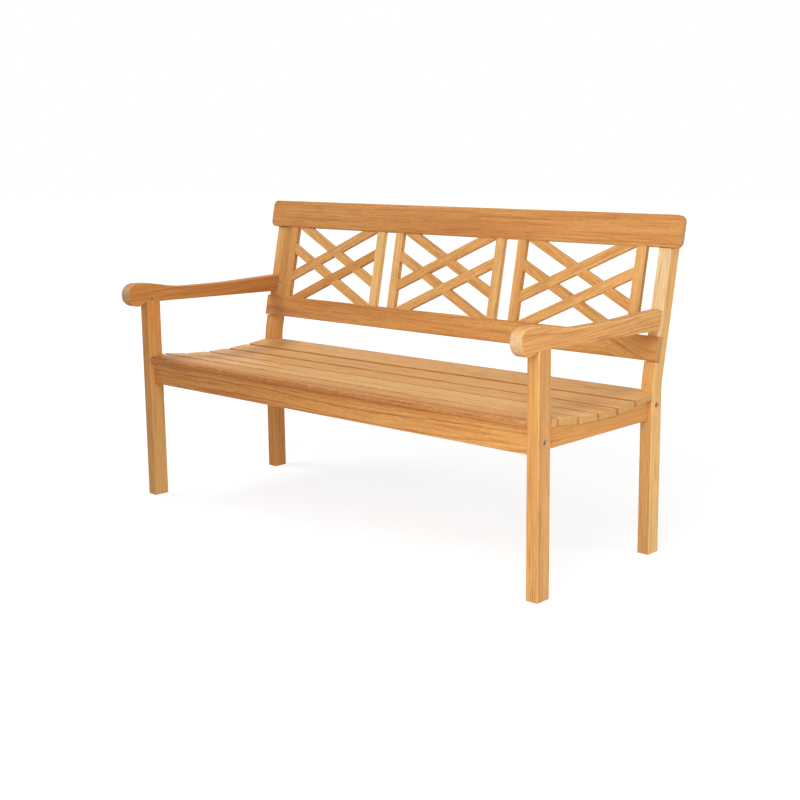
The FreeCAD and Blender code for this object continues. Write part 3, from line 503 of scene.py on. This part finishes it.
def painted_floor(paint):
    """Plain painted board: pale and matt. The camera sees it white, with the bench's soft shadow on it."""
    material, tree = blank("painted_floor")
    lit = add(tree, "ShaderNodeBsdfDiffuse", {"Color": rgba(paint)})
    shadow = add(tree, "ShaderNodeBsdfDiffuse", {"Color": rgba(SHADOW_PAINT)})
    spot = add(tree, "ShaderNodeTexCoord")
    away = add(tree, "ShaderNodeVectorMath", {0: spot.outputs["Object"]}, operation="LENGTH")
    level = add(tree, "ShaderNodeMapRange", {
        "Value": away.outputs["Value"], "From Min": GLOW_LOW_REACH, "From Max": GLOW_FULL_REACH,
        "To Min": GLOW_LOW, "To Max": 1.0}, interpolation_type="SMOOTHSTEP")
    glow = add(tree, "ShaderNodeEmission", {"Color": rgba(WHITE), "Strength": level.outputs[0]})
    white = add(tree, "ShaderNodeAddShader", {0: shadow.outputs[0], 1: glow.outputs[0]})
    either = add(tree, "ShaderNodeMixShader", {0: watched(tree), 1: lit.outputs[0], 2: white.outputs[0]})
    add(tree, "ShaderNodeOutputMaterial", {"Surface": either.outputs[0]})
    return material


def white_room(light):
    """White walls, seen at full white and lighting the bench at a lower level."""
    world = bpy.data.worlds.new("white_room")
    world.use_nodes = True
    tree = world.node_tree
    tree.nodes.clear()
    level = add(tree, "ShaderNodeMapRange", {"Value": watched(tree), "To Min": light, "To Max": 1.0})
    wall = add(tree, "ShaderNodeBackground", {"Color": rgba(WHITE), "Strength": level.outputs[0]})
    add(tree, "ShaderNodeOutputWorld", {"Surface": wall.outputs[0]})
    return world


class BENCH_OT_legs(bpy.types.Operator):
    """Oils the four legs, each sawn from its own board"""
    bl_idname = "bench.legs"
    bl_label = "Legs"

    def execute(self, context):
        t = context.scene.bench_timber
        # The left front leg is painted darker towards its top, for the shade under the arm, and its flanks
        # take painted shade.
        oiled_teak("front_leg_left", t, t.straw, t.copper, UPRIGHT, heart=(90, 120), shift=0.3, figure=0.8,
                   sweep=-1.3, flank_painted_shade=(t.russet, 0.3))
        # The right front leg's flanks take painted shade, and its arrises a painted highlight.
        oiled_teak("front_leg_right", t, t.straw, t.tan, UPRIGHT, heart=(-110, 80), shift=1.1, figure=0.6,
                   sweep=-0.25, arris_wear_and_highlight=0.35, flank_painted_shade=(t.honey, 0.55))
        oiled_teak("rear_leg_left", t, t.straw, t.copper, UPRIGHT, heart=(-130, -80), shift=2.4, figure=0.6,
                   sweep=0.8, bent=True)
        # The right rear leg's flanks take painted shade; the pale rim at the top of the post is sapwood
        # together with a painted sheen on its leaning front.
        oiled_teak("rear_leg_right", t, t.cream, t.honey, UPRIGHT, heart=(64, 0), shift=3.2, figure=0.5,
                   sweep=-0.8, rim_wood_and_shade=(t.sapwood_and_sheen, 119, 125, 110), bent=True, flank_painted_shade=(t.gold, 0.7))
        return {"FINISHED"}


class BENCH_OT_armrests(bpy.types.Operator):
    """Oils the two armrests, whose grain climbs a little towards the back"""
    bl_idname = "bench.armrests"
    bl_label = "Armrests"

    def execute(self, context):
        t = context.scene.bench_timber
        # Both arms have arrises painted paler as a painted highlight; the right arm's sides take painted
        # shade below its lit top.
        oiled_teak("armrest_left", t, t.gold, t.russet, UP_THE_ARM, heart=(70, 120), shift=0.6, figure=1.5,
                   ends=t.end_grain, arris_wear_and_highlight=0.35)
        oiled_teak("armrest_right", t, t.straw, t.gold, UP_THE_ARM, heart=(60, 110), shift=4.4, figure=1.3,
                   ends=t.end_grain, sweep=0.9, arris_wear_and_highlight=0.35, flank_painted_shade=(t.amber, 0.4))
        return {"FINISHED"}


class BENCH_OT_back_rails(bpy.types.Operator):
    """Oils the crest rail and the lower back rail, whose right end was sawn from beside a branch and is
    painted with the right arm's shadow
    """
    bl_idname = "bench.back_rails"
    bl_label = "Back rails"

    def execute(self, context):
        t = context.scene.bench_timber
        oiled_teak("crest_rail", t, t.honey, t.russet, LENGTHWAYS, heart=(100, 140), shift=0.9,
                   ends=t.end_oiled, fleck=0.35)
        # The darker fan at the right end is figure near a branch together with the painted shadow of the
        # right arm.
        oiled_teak("lower_back_rail", t, t.honey, t.russet, LENGTHWAYS, heart=(90, -120), shift=5.3,
                   figure=1.2, ends=t.end_oiled, fleck=0.35, rim_wood_and_shade=(t.tan, 100, 270, 590),
                   swerve=(590, 740, 45))
        return {"FINISHED"}


class BENCH_OT_stiles(bpy.types.Operator):
    """Oils the six stiles of the lattice panels"""
    bl_idname = "bench.stiles"
    bl_label = "Stiles"

    def execute(self, context):
        t = context.scene.bench_timber
        tones = (
            (t.honey, t.gold), (t.cream, t.cream),
            (t.cream, t.straw), (t.cream, t.straw),
            (t.straw, t.honey), (t.straw, t.honey),
        )
        # The left stiles were sawn further from the heart than the right ones, and their flanks take painted
        # shade.
        sides = (("left", 140, (t.amber, 0.8)), ("right", 105, None))
        stiles = itertools.product((1, 2, 3), sides)
        for number, ((panel, (side, away, flank_painted_shade)), (pale, deep)) in enumerate(zip(stiles, tones)):
            oiled_teak("panel_%d_stile_%s" % (panel, side), t, pale, deep, UP_THE_BACK,
                       heart=(90 + 15 * number, away), shift=0.7 * number, figure=0.6, fleck=0.3,
                       flank_painted_shade=flank_painted_shade)
        return {"FINISHED"}


class BENCH_OT_lattice_bars(bpy.types.Operator):
    """Oils the twelve crossing bars, each with its grain along its own slope"""
    bl_idname = "bench.lattice_bars"
    bl_label = "Lattice bars"

    def execute(self, context):
        t = context.scene.bench_timber
        tones = (
            (t.straw, t.gold), (t.honey, t.amber), (t.straw, t.honey), (t.straw, t.honey),
            (t.straw, t.gold), (t.straw, t.honey), (t.straw, t.gold), (t.straw, t.gold),
            (t.straw, t.honey), (t.straw, t.honey), (t.honey, t.amber), (t.straw, t.gold),
        )
        bars = itertools.product((1, 2, 3), (("rising", 1), ("falling", -1)), ("upper", "lower"))
        for number, ((panel, (way, sign), level), (pale, deep)) in enumerate(zip(bars, tones), 1):
            bar = "panel_%d_%s_bar_%s" % (panel, way, level)
            low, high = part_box(bar)
            size = high - low
            oiled_teak(bar, t, pale, deep, (size.x, sign * size.y, sign * size.z),
                       heart=(50 + 12 * number, 150 - 9 * number), shift=0.43 * number, figure=0.9,
                       fleck=0.4)
        return {"FINISHED"}


class BENCH_OT_seat_slats(bpy.types.Operator):
    """Oils the six seat slats, the first of which has flecked heartwood and painted shade along its nose"""
    bl_idname = "bench.seat_slats"
    bl_label = "Seat slats"

    def execute(self, context):
        t = context.scene.bench_timber
        # The first slat is darker along its nose: heartwood, with painted shade and reflection where the
        # nose turns down. The rim is the paler rest of its top.
        oiled_teak("seat_slat_1", t, t.tan, t.russet, LENGTHWAYS, heart=(-70, -12), shift=1.7,
                   ends=t.end_dull, fleck=1.0, sweep=0.9, rim_wood_and_shade=(t.honey, 45, 80, -900), arris_wear_and_highlight=0)
        tones = ((t.cream, t.straw), (t.cream, t.straw), (t.straw, t.honey), (t.straw, t.honey),
                 (t.straw, t.honey))
        # The flanks of the other slats take painted shade where they face each other across the gaps.
        for number, (pale, deep) in enumerate(tones, 2):
            oiled_teak("seat_slat_%d" % number, t, pale, deep, LENGTHWAYS,
                       heart=(140 - 18 * number, -70 - 14 * number), shift=1.7 * number, figure=0.6,
                       ends=t.end_dull, flank_painted_shade=(t.russet, 0.5))
        return {"FINISHED"}


class BENCH_OT_seat_rails(bpy.types.Operator):
    """Oils the apron, the side rails, the rear rail and the bearer under the seat"""
    bl_idname = "bench.seat_rails"
    bl_label = "Seat rails"

    def execute(self, context):
        t = context.scene.bench_timber
        oiled_teak("front_apron", t, t.honey, t.copper, LENGTHWAYS, heart=(40, -230), shift=2.1, figure=1.4,
                   fleck=0.35, sweep=0.6)
        oiled_teak("rear_seat_rail", t, t.honey, t.gold, LENGTHWAYS, heart=(-90, 120), shift=6.2)
        oiled_teak("side_rail_left", t, t.honey, t.gold, FRONT_TO_BACK, heart=(120, 80), shift=1.4)
        oiled_teak("side_rail_right", t, t.ginger, t.gold, FRONT_TO_BACK, heart=(100, 110), shift=3.9)
        oiled_teak("middle_bearer", t, t.honey, t.gold, FRONT_TO_BACK, heart=(80, -100), shift=0.2)
        return {"FINISHED"}


class BENCH_OT_pegs(bpy.types.Operator):
    """Darkens the pegs, plugs and dowels"""
    bl_idname = "bench.pegs"
    bl_label = "Pegs, plugs and dowels"

    def execute(self, context):
        for piece in ("arm_pegs", "screw_plugs", "rail_dowels", "lattice_dowels"):
            dark_peg_wood(piece, context.scene.bench_timber)
        return {"FINISHED"}


class BENCH_OT_steelwork(bpy.types.Operator):
    """Gives the bolts, washers, nuts and screws their stainless steel"""
    bl_idname = "bench.steelwork"
    bl_label = "Steelwork"

    def execute(self, context):
        for piece in ("frame_bolts", "bolt_washers", "barrel_nuts", "slat_screws", "back_screws"):
            tumbled_steel(piece, context.scene.bench_steel)
        return {"FINISHED"}


class BENCH_OT_studio(bpy.types.Operator):
    """Lays the floor, hangs the lamps and stands the camera where the picture was taken"""
    bl_idname = "bench.studio"
    bl_label = "Studio"

    def execute(self, context):
        s = context.scene.bench_studio
        context.scene.view_settings.view_transform = "Standard"
        context.scene.world = white_room(s.sky)

        bpy.ops.object.select_all(action="DESELECT")
        bpy.ops.mesh.primitive_plane_add(size=FLOOR_SIZE)
        floor = context.object
        floor.name = "floor"
        floor.data.materials.append(painted_floor(s.floor))

        lamps = (
            ("front_lamp", s.front_place, s.front),
            ("high_lamp", s.high_place, s.high),
            ("end_lamp", s.end_place, s.end),
            ("left_lamp", s.left_place, s.left),
        )
        for name, spot, watts in lamps:
            way = (Vector(s.aim) - Vector(spot)).to_track_quat("-Z", "Y")
            bpy.ops.object.light_add(type="AREA", location=spot, rotation=way.to_euler())
            lamp = context.object
            lamp.name = name
            lamp.visible_camera = False
            lamp.data.size = s.lamp_size
            lamp.data.energy = watts

        level_right = Vector((math.cos(s.turn), math.sin(s.turn), 0))
        ahead = Vector((-math.sin(s.turn) * math.cos(s.tilt), math.cos(s.turn) * math.cos(s.tilt),
                        -math.sin(s.tilt)))
        level_up = level_right.cross(ahead)
        right = math.cos(s.roll) * level_right + math.sin(s.roll) * level_up
        up = math.cos(s.roll) * level_up - math.sin(s.roll) * level_right
        bpy.ops.object.camera_add()
        camera = context.object
        camera.name = "camera"
        camera.matrix_world = Matrix.Translation(s.eye) @ Matrix((right, up, -ahead)).transposed().to_4x4()
        camera.data.sensor_width = SENSOR_WIDTH
        camera.data.lens = s.lens
        camera.data.shift_x, camera.data.shift_y = s.shift
        context.scene.camera = camera
        return {"FINISHED"}


STEPS = (
    BENCH_OT_legs, BENCH_OT_armrests, BENCH_OT_back_rails, BENCH_OT_stiles, BENCH_OT_lattice_bars,
    BENCH_OT_seat_slats, BENCH_OT_seat_rails, BENCH_OT_pegs, BENCH_OT_steelwork, BENCH_OT_studio,
)


class BENCH_PT_sidebar(bpy.types.Panel):
    """Lists the finishing steps of the bench"""
    bl_idname = "BENCH_PT_sidebar"
    bl_label = "Garden bench"
    bl_space_type = "VIEW_3D"
    bl_region_type = "UI"
    bl_category = "Bench"

    def draw(self, context):
        for step in STEPS:
            self.layout.operator(step.bl_idname)


GROUPS = {"bench_timber": BenchTimber, "bench_steel": BenchSteel, "bench_studio": BenchStudio}


def register():
    for kind in (*GROUPS.values(), *STEPS, BENCH_PT_sidebar):
        bpy.utils.register_class(kind)
    for name, kind in GROUPS.items():
        setattr(bpy.types.Scene, name, bpy.props.PointerProperty(type=kind))


def unregister():
    for name in GROUPS:
        delattr(bpy.types.Scene, name)
    for kind in (BENCH_PT_sidebar, *reversed(STEPS), *reversed(GROUPS.values())):
        bpy.utils.unregister_class(kind)


def main():
    register()
    bpy.ops.bench.legs()
    bpy.ops.bench.armrests()
    bpy.ops.bench.back_rails()
    bpy.ops.bench.stiles()
    bpy.ops.bench.lattice_bars()
    bpy.ops.bench.seat_slats()
    bpy.ops.bench.seat_rails()
    bpy.ops.bench.pegs()
    bpy.ops.bench.steelwork()
    bpy.ops.bench.studio()


if __name__ == "__main__":
    main()
